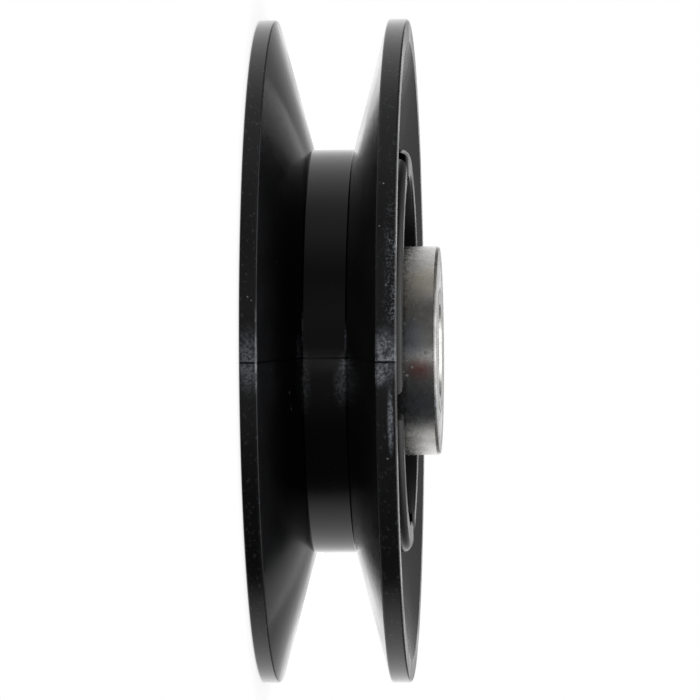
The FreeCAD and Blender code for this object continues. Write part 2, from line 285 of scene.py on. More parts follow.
class NodeBench:
    """Adds nodes to a tree with their settings, values and links."""

    def __init__(self, tree: bpy.types.NodeTree) -> None:
        """Work on a tree, emptied first."""
        self.tree = tree
        tree.nodes.clear()

    def feed(self, node: bpy.types.Node, key: str | int, given: object) -> None:
        """Link a socket to a node's input, or set the input's value.

        Args:
            node: The node.
            key: The input's name or place.
            given: A socket or a value.
        """
        if isinstance(given, bpy.types.NodeSocket):
            self.tree.links.new(given, node.inputs[key])
        else:
            node.inputs[key].default_value = given

    def add(self, kind: str, inputs: Inputs | None = None,
            **settings: object) -> bpy.types.Node:
        """Add a node.

        Args:
            kind: The node's type.
            inputs: Values or sockets for its inputs, by name or place.
            settings: Properties of the node itself.

        Returns:
            The node.
        """
        node = self.tree.nodes.new(kind)
        for key, setting in settings.items():
            setattr(node, key, setting)
        for key, given in (inputs or {}).items():
            self.feed(node, key, given)
        return node

    def math(self, operation: str, *given: object) -> Socket:
        """Do arithmetic on values or sockets and give the result's socket."""
        return self.add("ShaderNodeMath", dict(enumerate(given)), operation=operation).outputs[0]

    def fold(self, operation: str, given: Sequence[object]) -> Socket:
        """Do one operation on all of several values or sockets, in order.

        Args:
            operation: The operation's name.
            given: The values or sockets.

        Returns:
            The result's socket.
        """
        whole = given[0]
        for following in given[1:]:
            whole = self.math(operation, whole, following)
        return whole

    def product(self, *given: object) -> Socket:
        """Give the product of values or sockets."""
        return self.fold("MULTIPLY", given)

    def greatest(self, *given: object) -> Socket:
        """Give the greatest of values or sockets."""
        return self.fold("MAXIMUM", given)

    def less(self, first: object, second: object) -> Socket:
        """Give the first value or socket less the second."""
        return self.math("SUBTRACT", first, second)

    def levels(self, value: Socket, stops: Sequence[Point]) -> Socket:
        """Give a level by straight lines between stops of (place from 0 to 1, level).

        Args:
            value: What picks the place.
            stops: The places and their levels.

        Returns:
            The level's socket.
        """
        node = self.add("ShaderNodeValToRGB", {"Fac": value})
        elements = node.color_ramp.elements
        while len(elements) < len(stops):
            elements.new(0.5)
        peak = max(level for _, level in stops)
        for element, (place, level) in zip(elements, stops):
            element.position = place
            element.color = grey(level / peak)
        return self.product(node.outputs["Color"], peak)


class Bench(NodeBench):
    """Builds one material's node tree a step at a time."""

    def __init__(self, name: str) -> None:
        """Start an empty material.

        Args:
            name: The material's name.
        """
        self.material = bpy.data.materials.new(name)
        self.material.use_nodes = True
        super().__init__(self.material.node_tree)

    def ramp(self, value: Socket, low: float, high: float, start: float = 0.0,
             stop: float = 1.0) -> Socket:
        """Map a value smoothly from one range to another.

        Args:
            value: The value to map.
            low: Where the first range starts.
            high: Where it stops.
            start: What is given at low.
            stop: What is given at high.

        Returns:
            The mapped value's socket.
        """
        inputs = {"Value": value, "From Min": low, "From Max": high, "To Min": start,
                  "To Max": stop}
        node = self.add("ShaderNodeMapRange", inputs, interpolation_type="SMOOTHSTEP")
        return node.outputs["Result"]

    def noise(self, vector: Socket, scale: float, detail: float = 2.0,
              roughness: float = 0.5) -> Socket:
        """Give a noise value over a vector.

        Args:
            vector: Where the noise is read.
            scale: Cells in a unit of the vector.
            detail: How many finer layers there are.
            roughness: How strong the finer layers are.

        Returns:
            The noise's socket.
        """
        inputs = {"Vector": vector, "Scale": scale, "Detail": detail, "Roughness": roughness}
        return self.add("ShaderNodeTexNoise", inputs).outputs["Fac"]

    def mix(self, factor: Socket | float, first: object, second: object) -> Socket:
        """Mix two colours by a factor.

        Args:
            factor: The share of the second colour.
            first: The first colour.
            second: The second colour.

        Returns:
            The mixed colour's socket.
        """
        node = self.add("ShaderNodeMix", data_type="RGBA")
        for key, given in ((0, factor), (6, first), (7, second)):
            self.feed(node, key, given)
        return node.outputs[2]

    def spot(self) -> Socket:
        """Give the object position."""
        return self.add("ShaderNodeTexCoord").outputs["Object"]

    def place(self) -> Where:
        """Give the object position and its angle, radius and height about the axis.

        Returns:
            The sockets of all four.
        """
        spot = self.spot()
        parts = self.add("ShaderNodeSeparateXYZ", {"Vector": spot}).outputs
        squares = self.math("ADD", self.product(parts["X"], parts["X"]),
                            self.product(parts["Y"], parts["Y"]))
        return Where(spot, self.math("ARCTAN2", parts["Y"], parts["X"]),
                     self.math("SQRT", squares), parts["Z"])

    def turned_grain(self, along: float, across: float) -> Socket:
        """Give a vector whose noise is drawn out round the axis.

        Args:
            along: Cells in a radian round the axis.
            across: Cells in a metre across the marks.

        Returns:
            The vector's socket.
        """
        where = self.place()
        inputs = {"X": self.product(where.angle, along), "Y": self.product(where.radius, across),
                  "Z": self.product(where.height, across)}
        return self.add("ShaderNodeCombineXYZ", inputs).outputs[0]

    def bump(self, height: Socket, depth: float, strength: float = 1.0,
             normal: Socket | None = None) -> Socket:
        """Bump the surface by a height socket, with depth in millimetres.

        Args:
            height: The relief's socket.
            depth: The relief's depth.
            strength: How much of it shows.
            normal: A relief that lies under this one.

        Returns:
            The normal's socket.
        """
        inputs: Inputs = {"Height": height, "Distance": depth * MM, "Strength": strength}
        if normal is not None:
            inputs["Normal"] = normal
        return self.add("ShaderNodeBump", inputs).outputs[0]

    def vector(self, operation: str, *given: object) -> Socket:
        """Do vector arithmetic and give the result's socket; a scale's factor comes last.

        Args:
            operation: The operation's name.
            given: Vectors, and a scale's factor.

        Returns:
            The result's socket.
        """
        keys = (0, "Scale") if operation == "SCALE" else (0, 1)
        node = self.add("ShaderNodeVectorMath", dict(zip(keys, given)), operation=operation)
        return node.outputs["Value" if operation in ("DOT_PRODUCT", "LENGTH") else "Vector"]

    def mark(self, mark: Mark) -> Socket:
        """Give a soft spot: the mark's strength at its middle and 0 past its reach.

        Args:
            mark: The spot's place, size and strength.

        Returns:
            The spot's socket.
        """
        turn = math.radians(mark.angle)
        around = (-math.sin(turn), math.cos(turn), 0.0)
        away = self.vector("SUBTRACT", self.spot(), about_axis(mark.radius, turn, mark.height))
        along = self.vector("DOT_PRODUCT", away, around)
        spare = self.vector("SCALE", around, self.product(along, 1.0 - 1.0 / mark.stretch))
        length = self.vector("LENGTH", self.vector("SUBTRACT", away, spare))
        return self.ramp(length, 0.0, mark.reach * MM, mark.strength, 0.0)

    def marks(self, marks: Sequence[Mark]) -> Socket:
        """Give the strongest of several soft spots."""
        return self.greatest(*[self.mark(mark) for mark in marks])

    def finish(self, inputs: Inputs) -> bpy.types.Material:
        """Close the tree with a Principled shader and give the material.

        Args:
            inputs: The shader's inputs.

        Returns:
            The material.
        """
        shader = self.add("ShaderNodeBsdfPrincipled", inputs)
        self.add("ShaderNodeOutputMaterial", {"Surface": shader.outputs[0]})
        return self.material


@dataclass(frozen=True)
class MouldedPlastic:
    """Black glass-filled plastic with mould polish, handling scuff marks and dust, with painted
    highlights on the lower land's groove edge and on the front land patches, and painted shade
    along the parting line.

    Lengths are in millimetres, and heights count from the lower rim face.
    """

    black: Colour = (0.0036, 0.0037, 0.004, 1.0)
    handled: Colour = (0.026, 0.0265, 0.028, 1.0)
    dusty: Colour = (0.055, 0.057, 0.062, 1.0)
    # Pale bluish tone of rubbed plastic, set light enough to paint in the highlight on the front
    # patches.
    scuff_and_highlight: Colour = (0.58, 0.62, 0.69, 1.0)
    pale: Colour = (0.80, 0.81, 0.83, 1.0)
    land_roughness: float = 0.15
    face_roughness: float = 0.27
    scuff_roughness: float = 0.18
    rim_face_polish: float = 0.35
    gloss_level: float = 0.3
    rim_radius: float = 63.5
    rim_inside: float = 59.2
    floor_radius: float = 38.6
    middle: float = 14.0
    half_floor: float = 4.05
    wall_slope: float = 0.27
    parting_angle: float = -88.15
    # Height of the lower land's groove edge, where the highlight is painted.
    lit_edge_height: float = 3.08
    upper_band: Point = (25.8, 27.5)
    clean_land: Mark = Mark(-52.0, 63.5, 2.0, 40.0, 0.8)
    # Spreads the painted edge highlight round the front of the wheel.
    lit_edge_stretch: Mark = Mark(-90.0, 63.5, 3.1, 10.0, 1.0)
    gate_inside: Mark = Mark(-89.6, 63.5, 26.7, 1.4, 0.8)
    rubbed_land: Mark = Mark(-100.15, 63.5, 27.2, 26.0, 1.0)
    # Rubbed patches at the front of the lands, partly handling wear and partly painted highlight.
    scuffs_and_highlight: tuple[Mark, ...] = (
        Mark(-89.4, 63.5, 26.5, 3.8, 1.0, 1.6), Mark(-86.2, 63.5, 25.4, 2.0, 1.0, 1.5),
        Mark(-78.5, 63.5, 27.35, 0.75, 1.0, 13.0),
        Mark(-88.5, 63.5, 1.7, 3.6, 0.42, 2.2))
    # Light spots on the groove floor, partly dust and wear and partly painted highlight.
    smudges_and_highlight: tuple[Mark, ...] = (
        Mark(-85.4, 38.6, 17.6, 1.5, 1.0, 2.2), Mark(-81.0, 38.6, 17.1, 2.0, 0.55, 2.8),
        Mark(-82.0, 38.6, 10.3, 1.6, 0.35, 5.5), Mark(-90.5, 40.5, 9.4, 2.2, 0.6, 1.8),
        Mark(-93.0, 38.7, 18.0, 0.35, 0.7, 14.0), Mark(-96.0, 38.7, 9.95, 0.35, 0.5, 22.0))
    specks: tuple[Mark, ...] = (
        Mark(-80.48, 45.9, 7.95, 0.5, 1.0), Mark(-76.42, 45.0, 8.21, 0.45, 1.0),
        Mark(-77.4, 45.2, 8.15, 0.3, 0.8),
        Mark(-118.7, 63.5, 26.0, 0.24, 0.8), Mark(-110.9, 63.5, 25.4, 0.22, 0.6),
        Mark(-72.1, 63.5, 26.7, 0.26, 0.9), Mark(-99.0, 63.5, 1.6, 0.22, 0.7),
        Mark(-98.4, 63.5, 2.3, 0.2, 0.6))

    def make(self) -> bpy.types.Material:
        """Build the material.

        Returns:
            The material.
        """
        bench = Bench("moulded_plastic")
        where = bench.place()
        spot, radius = where.spot, where.radius
        cloud = bench.noise(spot, 70.0, 4.0, 0.6)
        on_land = bench.ramp(radius, (self.rim_radius - 0.7) * MM, (self.rim_radius - 0.2) * MM)
        in_groove = self._in_groove(bench, where)
        polished = bench.greatest(on_land, in_groove)
        scuffs_and_highlight = bench.product(self._scuffs_and_highlight(bench, where), on_land)
        touched = bench.product(bench.less(on_land, bench.mark(self.clean_land)),
                                bench.ramp(cloud, 0.3, 0.7, 0.7, 1.0))
        colour = bench.mix(bench.greatest(touched, 0.0), self.black, self.handled)
        film = bench.product(in_groove, self._film_depth(bench, radius),
                             bench.ramp(cloud, 0.3, 0.7, 0.6, 1.1))
        motes = bench.ramp(bench.noise(spot, 1500.0, 1.0), 0.70, 0.76)
        dust = bench.product(motes, bench.ramp(cloud, 0.45, 0.62, 0.0, 0.5))
        colour = bench.mix(bench.greatest(dust, film), colour, self.dusty)
        grit = bench.ramp(bench.noise(spot, 1500.0, 4.0, 0.7), 0.38, 0.62, 0.2, 1.0)
        # Rubbed and light patches on the lands and groove floor, partly real wear and partly
        # painted highlight, in the pale bluish tone.
        worn_and_highlight = bench.greatest(scuffs_and_highlight, bench.product(bench.marks(self.smudges_and_highlight), grit))
        colour = bench.mix(worn_and_highlight, colour, self.scuff_and_highlight)
        # Painted shade: the parting line is drawn back to bare black on the lands and in the
        # groove.
        seam_shade = bench.product(self._seam_shade(bench, where), polished)
        colour = bench.mix(seam_shade, colour, self.black)
        # Pale tone: the painted highlight on the lower land's groove edge, and pale specks.
        pale = bench.greatest(self._painted_edge_highlight(bench, where), bench.marks(self.specks))
        colour = bench.mix(pale, colour, self.pale)
        on_rim_face = bench.ramp(radius, (self.rim_inside - 0.2) * MM,
                                 (self.rim_inside + 0.2) * MM, 0.0, self.rim_face_polish)
        base = bench.math("MULTIPLY_ADD", bench.greatest(polished, on_rim_face),
                          self.land_roughness - self.face_roughness, self.face_roughness)
        uneven = bench.math("ADD", base, bench.ramp(cloud, 0.3, 0.7, -0.03, 0.04))
        rough = bench.math("ADD", uneven, bench.product(scuffs_and_highlight, self.scuff_roughness))
        fine = bench.bump(bench.noise(spot, 2600.0, 2.0), 0.004, 0.5)
        turning = bench.noise(bench.turned_grain(9.0, 5200.0), 1.0, 3.0, 0.6)
        turned = bench.bump(turning, 0.003, 0.6, fine)
        torn = bench.product(scuffs_and_highlight, bench.noise(spot, 1900.0, 3.0))
        return bench.finish({"Base Color": colour, "Roughness": rough,
                             "Normal": bench.bump(torn, 0.05, 0.8, turned),
                             "Specular IOR Level": self.gloss_level})

    def _seam_shade(self, bench: Bench, where: Where) -> Socket:
        """Give 1 in the parting line of the split mould, on both sides of the wheel, as painted
        shade.

        Args:
            bench: The material being built.
            where: The place on the wheel.

        Returns:
            The painted shade's factor.
        """
        turn = bench.less(where.angle, math.radians(self.parting_angle))
        away = bench.product(bench.math("ABSOLUTE", bench.math("SINE", turn)), where.radius)
        return bench.ramp(away, 0.1 * MM, 0.3 * MM, 0.95, 0.0)

    def _in_groove(self, bench: Bench, where: Where) -> Socket:
        """Give 1 on the floor and walls of the belt groove and 0 outside it.

        Args:
            bench: The material being built.
            where: The place on the wheel.

        Returns:
            The groove's factor.
        """
        away = bench.math("ABSOLUTE", bench.less(where.height, self.middle * MM))
        half = bench.math("MULTIPLY_ADD", bench.less(where.radius, self.floor_radius * MM),
                          self.wall_slope, (self.half_floor + 0.6) * MM)
        between = bench.ramp(bench.less(half, away), 0.0, 0.4 * MM)
        above = bench.ramp(where.radius, (self.floor_radius - 1.0) * MM,
                           (self.floor_radius - 0.5) * MM)
        return bench.product(between, above)

    def _film_depth(self, bench: Bench, radius: Socket) -> Socket:
        """Give the depth of the dust film, thinner up the walls and gone at the floor.

        Args:
            bench: The material being built.
            radius: The distance from the axis.

        Returns:
            The film's factor.
        """
        on_walls = bench.ramp(radius, (self.floor_radius + 1.4) * MM, self.rim_radius * MM,
                              0.45, 0.35)
        return bench.product(on_walls, bench.ramp(radius, (self.floor_radius + 0.2) * MM,
                                                  (self.floor_radius + 0.8) * MM))

    def _painted_edge_highlight(self, bench: Bench, where: Where) -> Socket:
        """Give the painted highlight along the lower land's groove edge, strongest at the front of
        the wheel.

        Args:
            bench: The material being built.
            where: The place on the wheel.

        Returns:
            The painted highlight's factor.
        """
        # Painted highlight: a thin pale line on the groove edge, broken up by noise.
        away = bench.math("ABSOLUTE", bench.less(where.height, self.lit_edge_height * MM))
        outside = bench.ramp(where.radius, (self.rim_radius - 0.5) * MM,
                             (self.rim_radius - 0.3) * MM)
        broken = bench.ramp(bench.noise(where.spot, 420.0, 3.0, 0.6), 0.40, 0.62, 0.15, 0.9)
        return bench.product(bench.ramp(away, 0.08 * MM, 0.22 * MM, 1.0, 0.0), outside,
                             bench.mark(self.lit_edge_stretch), broken)

    def _scuffs_and_highlight(self, bench: Bench, where: Where) -> Socket:
        """Gather the places where handling has rubbed the rim lands; the front patches also carry
        a painted highlight.

        Args:
            bench: The material being built.
            where: The place on the wheel.

        Returns:
            A factor for the rubbed places and their painted highlight.
        """
        spot = where.spot
        streaks = bench.ramp(bench.noise(bench.turned_grain(60.0, 1500.0), 1.0, 3.0, 0.7),
                             0.56, 0.72)
        grit = bench.ramp(bench.noise(spot, 1900.0, 4.0, 0.75), 0.4, 0.61, 0.2, 1.3)
        # The front patches: real rubs that also carry painted highlight.
        patch = bench.product(bench.marks(self.scuffs_and_highlight),
                              bench.less(1.0, bench.mark(self.gate_inside)), grit)
        low, high = self.upper_band
        crumbs = bench.ramp(bench.noise(spot, 2300.0, 4.0, 0.75), 0.5, 0.68, 0.0, 0.75)
        patchy = bench.ramp(bench.noise(spot, 330.0, 2.0), 0.4, 0.6, 0.3, 1.0)
        rubbed = bench.product(bench.mark(self.rubbed_land),
                               bench.ramp(where.height, low * MM, high * MM),
                               bench.product(patchy, bench.greatest(streaks, crumbs)))
        return bench.greatest(patch, rubbed, bench.product(streaks, 0.1))


@dataclass(frozen=True)
class GroundSteel:
    """Ring steel with grinding marks round the axis, mottling, faint tarnish and a stain, with
    painted glints and painted coloured reflections.
    """

    name: str = "ring_steel"
    clean: Colour = (0.70, 0.69, 0.67, 1.0)
    tarnished: Colour = (0.48, 0.47, 0.45, 1.0)
    # Painted coloured reflections: a yellowish and a blue tone laid where the steel shows
    # reflected surroundings.
    painted_straw_reflection: Colour = (0.72, 0.66, 0.52, 1.0)
    painted_blue_reflection: Colour = (0.50, 0.56, 0.68, 1.0)
    stain: Colour = (0.46, 0.20, 0.19, 1.0)
    pit: Colour = grey(0.8)
    # Near-white base colour for the painted glints.
    glint: Colour = grey(0.95)
    roughness: float = 0.26
    # Tint patches: painted yellowish and blue reflections, and a real reddish stain.
    tints: tuple[tuple[Colour, Mark], ...] = (
        (painted_straw_reflection, Mark(-131.0, 20.0, 31.5, 6.0, 0.8)), (painted_straw_reflection, Mark(-118.0, 20.0, 29.0, 4.0, 0.5)),
        (painted_blue_reflection, Mark(-97.0, 20.0, 28.5, 5.5, 0.8)), (painted_blue_reflection, Mark(-60.0, 20.0, 30.5, 7.5, 0.7)),
        (stain, Mark(-79.0, 20.0, 31.2, 3.4, 1.0)), (stain, Mark(-80.0, 20.0, 29.8, 2.2, 0.7)))
    # Painted glints: small near-white spots standing in for light caught by the steel.
    specks: tuple[Mark, ...] = (
        Mark(-76.7, 20.0, 28.5, 0.42, 1.0), Mark(-84.7, 20.0, 28.6, 0.38, 1.0),
        Mark(-81.1, 20.0, 29.5, 0.4, 1.0), Mark(-88.8, 20.0, 32.0, 0.42, 1.0),
        Mark(-78.7, 20.0, 27.9, 0.3, 0.7), Mark(-107.4, 20.0, 29.9, 0.3, 0.6),
        Mark(-104.9, 20.0, 28.2, 0.26, 0.5), Mark(-94.9, 20.0, 31.1, 0.28, 0.5))

    def make(self) -> bpy.types.Material:
        """Build the material.

        Returns:
            The material.
        """
        bench = Bench(self.name)
        spot = bench.spot()
        cloud = bench.noise(spot, 260.0, 4.0, 0.6)
        mottle = bench.noise(bench.turned_grain(16.0, 1300.0), 1.0, 3.0, 0.6)
        grinding = bench.noise(bench.turned_grain(5.0, 9000.0), 1.0, 2.0, 0.5)
        pits = bench.ramp(bench.noise(spot, 2100.0, 1.0), 0.72, 0.77)
        tarnish = bench.ramp(bench.product(cloud, mottle), 0.15, 0.36)
        colour = bench.mix(tarnish, self.tarnished, self.clean)
        patchy = bench.ramp(mottle, 0.3, 0.7, 0.45, 1.0)
        # Lays on the painted reflection tones and the stain in patches.
        for tint, mark in self.tints:
            colour = bench.mix(bench.product(bench.mark(mark), patchy), colour, tint)
        colour = bench.mix(bench.product(pits, 0.6), colour, self.pit)
        # Painted glints: non-metallic near-white spots, so they show bright under any light.
        glints = bench.marks(self.specks)
        colour = bench.mix(glints, colour, self.glint)
        rough = bench.ramp(mottle, 0.3, 0.7, self.roughness - 0.04, self.roughness + 0.05)
        rough = bench.math("ADD", rough, bench.product(glints, 0.6))
        normal = bench.bump(mottle, 0.004, 0.5, bench.bump(grinding, 0.003, 0.4))
        return bench.finish({"Base Color": colour, "Roughness": rough, "Normal": normal,
                             "Metallic": bench.less(1.0, glints)})


@dataclass(frozen=True)
class PolishedSteel:
    """Ball steel: bright, with a trace of grease smear."""

    bright: Colour = (0.62, 0.62, 0.63, 1.0)
    greasy: Colour = (0.48, 0.43, 0.34, 1.0)

    def make(self) -> bpy.types.Material:
        """Build the material.

        Returns:
            The material.
        """
        bench = Bench("ball_steel")
        spot = bench.spot()
        smear = bench.noise(spot, 420.0, 4.0, 0.6)
        rough = bench.ramp(smear, 0.35, 0.75, 0.06, 0.2)
        colour = bench.mix(bench.ramp(smear, 0.5, 0.8, 0.0, 0.5), self.bright, self.greasy)
        return bench.finish({"Base Color": colour, "Roughness": rough, "Metallic": 1.0})


@dataclass(frozen=True)
class CageNylon:
    """Natural moulded polyamide with flow marks."""

    pale: Colour = (0.62, 0.55, 0.42, 1.0)
    amber: Colour = (0.50, 0.40, 0.25, 1.0)

    def make(self) -> bpy.types.Material:
        """Build the material.

        Returns:
            The material.
        """
        bench = Bench("cage_nylon")
        spot = bench.spot()
        flow = bench.noise(bench.turned_grain(8.0, 900.0), 1.0, 4.0, 0.6)
        colour = bench.mix(bench.ramp(flow, 0.35, 0.7), self.pale, self.amber)
        normal = bench.bump(bench.noise(spot, 2400.0, 2.0), 0.01, 0.4)
        rough = bench.ramp(flow, 0.3, 0.7, 0.42, 0.56)
        return bench.finish({"Base Color": colour, "Roughness": rough, "Normal": normal,
                             "Subsurface Weight": 0.08})


@dataclass(frozen=True)
class SealRubber:
    """Black nitrile rubber with moulding bloom and dust in the grooves."""

    black: Colour = (0.012, 0.012, 0.012, 1.0)
    bloom: Colour = (0.05, 0.048, 0.045, 1.0)

    def make(self) -> bpy.types.Material:
        """Build the material.

        Returns:
            The material.
        """
        bench = Bench("seal_rubber")
        spot = bench.spot()
        cloud = bench.noise(spot, 260.0, 5.0, 0.65)
        rings = bench.noise(bench.turned_grain(2.0, 3600.0), 1.0, 2.0, 0.5)
        colour = bench.mix(bench.ramp(cloud, 0.45, 0.8, 0.0, 0.6), self.black, self.bloom)
        normal = bench.bump(rings, 0.012, 0.6)
        rough = bench.ramp(cloud, 0.3, 0.7, 0.14, 0.22)
        return bench.finish({"Base Color": colour, "Roughness": rough, "Normal": normal,
                             "Specular IOR Level": 0.5})


@dataclass(frozen=True)
class DustMote:
    """Pale dry dust."""

    dark: Colour = (0.35, 0.34, 0.32, 1.0)
    pale: Colour = (0.75, 0.74, 0.70, 1.0)

    def make(self) -> bpy.types.Material:
        """Build the material.

        Returns:
            The material.
        """
        bench = Bench("dust")
        spot = bench.spot()
        tone = bench.mix(bench.noise(spot, 900.0), self.dark, self.pale)
        return bench.finish({"Base Color": tone, "Roughness": 0.9})


# Geometry Nodes


class Tree(NodeBench):
    """Builds one Geometry Nodes tree with named inputs."""

    def __init__(self, name: str) -> None:
        """Start a tree that takes and gives geometry.

        Args:
            name: The tree's name.
        """
        super().__init__(bpy.data.node_groups.new(name, "GeometryNodeTree"))
        for way in ("INPUT", "OUTPUT"):
            self.tree.interface.new_socket("Geometry", in_out=way,
                                           socket_type="NodeSocketGeometry")
        self.source = self.tree.nodes.new("NodeGroupInput")

    def size(self, name: str, kind: str) -> Socket:
        """Add a named input of a socket type and give its socket."""
        self.tree.interface.new_socket(name, in_out="INPUT", socket_type=kind)
        return self.source.outputs[name]

    def shape(self, name: str) -> Socket:
        """Add a named input for an object and give that object's geometry."""
        given = self.size(name, "NodeSocketObject")
        return self.add("GeometryNodeObjectInfo", {"Object": given}).outputs["Geometry"]

    def ring(self, piece: Socket, count: Socket, first: Socket) -> Socket:
        """Repeat a piece evenly about the axis.

        Args:
            piece: The geometry to repeat.
            count: How many copies there are.
            first: The first copy's angle in radians.

        Returns:
            The realized copies.
        """
        line = self.add("GeometryNodeMeshLine", {"Count": count, "Offset": (0.0, 0.0, 0.0)})
        step = self.math("DIVIDE", 2 * math.pi, count)
        index = self.add("GeometryNodeInputIndex").outputs[0]
        angle = self.math("ADD", first, self.product(index, step))
        turn = self.add("ShaderNodeCombineXYZ", {"Z": angle}).outputs[0]
        placed = self.add("GeometryNodeInstanceOnPoints",
                          {"Points": line.outputs[0], "Instance": piece, "Rotation": turn})
        return self.add("GeometryNodeRealizeInstances", {0: placed.outputs[0]}).outputs[0]

    def give(self, geometry: Socket, material: bpy.types.Material) -> bpy.types.GeometryNodeTree:
        """End the tree in Realize Instances and Set Material.

        Args:
            geometry: What the tree makes.
            material: What it is made of.

        Returns:
            The finished tree.
        """
        whole = self.add("GeometryNodeRealizeInstances", {0: geometry}).outputs[0]
        dressed = self.add("GeometryNodeSetMaterial", {"Geometry": whole, "Material": material})
        self.add("NodeGroupOutput", {0: dressed.outputs[0]})
        return self.tree


def run_tree(target: bpy.types.Object, tree: bpy.types.GeometryNodeTree,
             sizes: dict[str, object]) -> None:
    """Put a tree on an object and set its named inputs.

    Args:
        target: The object that the tree shapes.
        tree: The Geometry Nodes tree.
        sizes: The inputs' values by name.
    """
    modifier = target.modifiers.new(tree.name, "NODES")
    modifier.node_group = tree
    for item in tree.interface.items_tree:
        if item.item_type == "SOCKET" and item.in_out == "INPUT" and item.name in sizes:
            modifier[item.identifier] = sizes[item.name]


# Sub-assemblies


